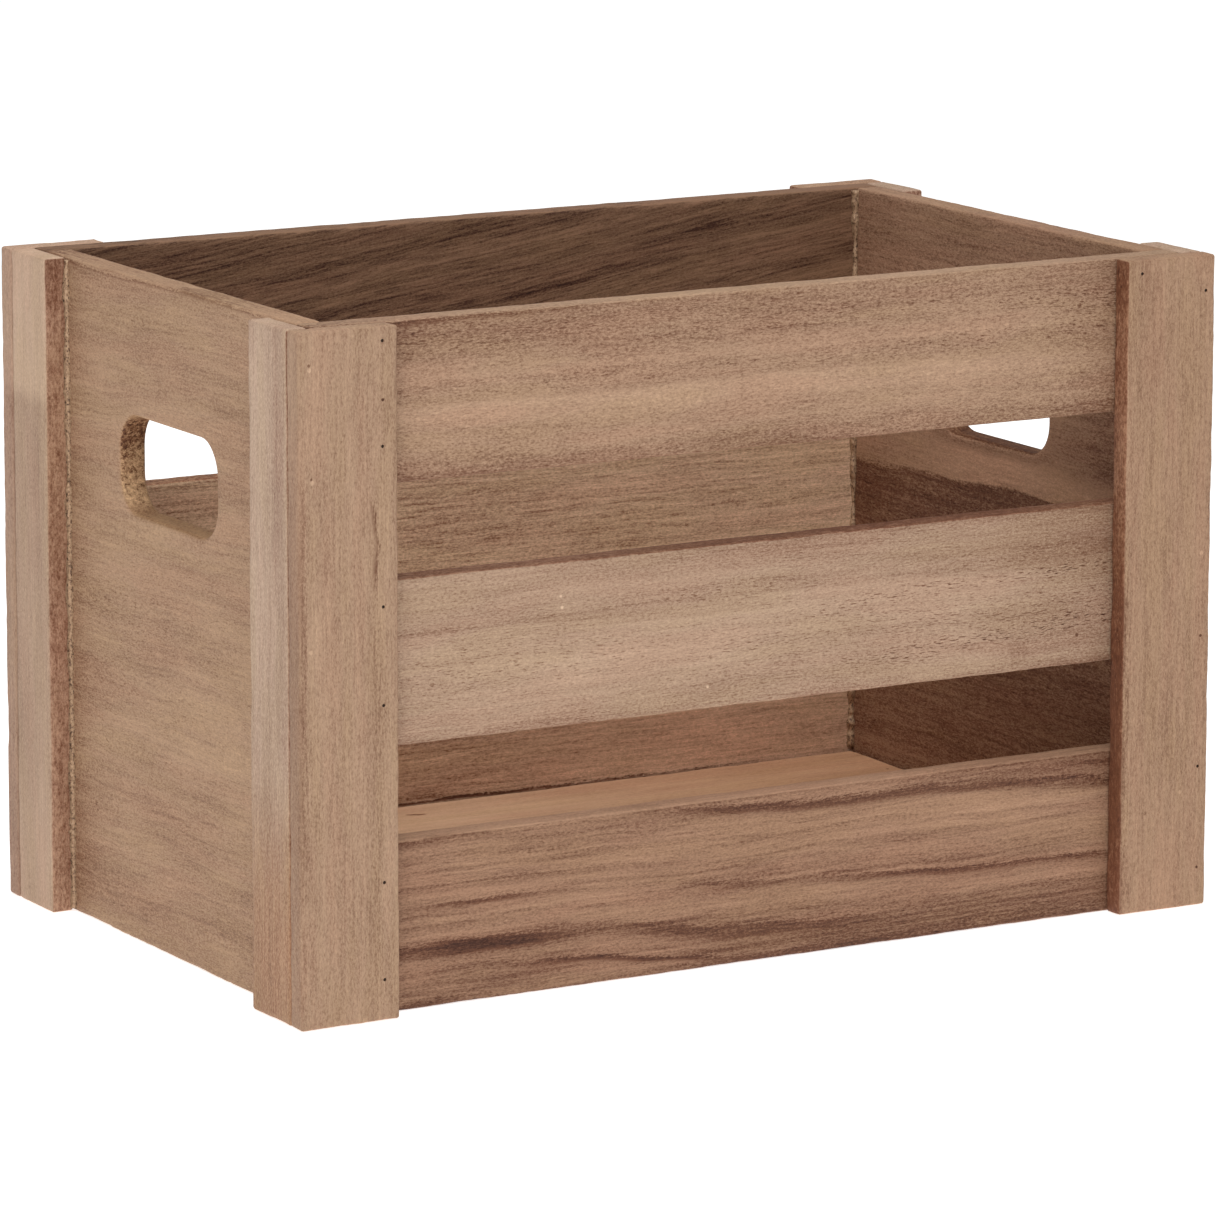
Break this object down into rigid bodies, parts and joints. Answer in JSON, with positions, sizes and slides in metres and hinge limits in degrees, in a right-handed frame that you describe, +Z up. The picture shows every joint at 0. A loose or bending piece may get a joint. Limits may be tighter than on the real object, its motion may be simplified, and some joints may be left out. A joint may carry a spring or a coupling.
{
  "type": "wooden apple crate",
  "caption": "Open-topped slatted wooden crate with solid end panels, rounded hand holes, corner strips nailed on with brads and a smooth floor board.",
  "frame": {"origin": "on the ground under the middle of the crate's outer box", "axes": "+X along the crate's length, +Y towards its back long side, +Z up"},
  "size_m": [0.372, 0.232, 0.24],
  "materials": {
    "end_panel_wood": "smooth planed, greyish brown stain, horizontal grain",
    "slat_wood": "planed, brown stain with dark wavy streaks along the slat",
    "strip_wood": "planed, light brown stain, fine straight vertical grain",
    "floor_wood": "smooth, light tan, almost plain",
    "cleat_wood": "rough sawn, light brown",
    "brad_steel": "dull dark steel, set just under the surface"
  },
  "bodies": {
    "root": {"corner_brad_back_left_1": "brad_steel", "corner_brad_back_left_2": "brad_steel", "corner_brad_back_left_3": "brad_steel", "corner_brad_back_right_1": "brad_steel", "corner_brad_back_right_2": "brad_steel", "corner_brad_back_right_3": "brad_steel", "corner_brad_front_left_1": "brad_steel", "corner_brad_front_left_2": "brad_steel", "corner_brad_front_left_3": "brad_steel", "corner_brad_front_right_1": "brad_steel", "corner_brad_front_right_2": "brad_steel", "corner_brad_front_right_3": "brad_steel", "end_panel_left": "end_panel_wood", "end_panel_right": "end_panel_wood", "floor_board": "floor_wood", "floor_brad_left_1": "brad_steel", "floor_brad_left_2": "brad_steel", "floor_brad_right_1": "brad_steel", "floor_brad_right_2": "brad_steel", "floor_cleat_left": "cleat_wood", "floor_cleat_right": "cleat_wood", "long_strip_back_left": "strip_wood", "long_strip_back_right": "strip_wood", "long_strip_front_left": "strip_wood", "long_strip_front_right": "strip_wood", "side_strip_back_left": "strip_wood", "side_strip_back_right": "strip_wood", "side_strip_front_left": "strip_wood", "side_strip_front_right": "strip_wood", "slat_back_bottom": "slat_wood", "slat_back_middle": "slat_wood", "slat_back_top": "slat_wood", "slat_brad_back_left_bottom_1": "brad_steel", "slat_brad_back_left_bottom_2": "brad_steel", "slat_brad_back_left_middle_1": "brad_steel", "slat_brad_back_left_middle_2": "brad_steel", "slat_brad_back_left_top_1": "brad_steel", "slat_brad_back_left_top_2": "brad_steel", "slat_brad_back_right_bottom_1": "brad_steel", "slat_brad_back_right_bottom_2": "brad_steel", "slat_brad_back_right_middle_1": "brad_steel", "slat_brad_back_right_middle_2": "brad_steel", "slat_brad_back_right_top_1": "brad_steel", "slat_brad_back_right_top_2": "brad_steel", "slat_brad_front_left_bottom_1": "brad_steel", "slat_brad_front_left_bottom_2": "brad_steel", "slat_brad_front_left_middle_1": "brad_steel", "slat_brad_front_left_middle_2": "brad_steel", "slat_brad_front_left_top_1": "brad_steel", "slat_brad_front_left_top_2": "brad_steel", "slat_brad_front_right_bottom_1": "brad_steel", "slat_brad_front_right_bottom_2": "brad_steel", "slat_brad_front_right_middle_1": "brad_steel", "slat_brad_front_right_middle_2": "brad_steel", "slat_brad_front_right_top_1": "brad_steel", "slat_brad_front_right_top_2": "brad_steel", "slat_front_bottom": "slat_wood", "slat_front_middle": "slat_wood", "slat_front_top": "slat_wood"}
  },
  "joints": []
}
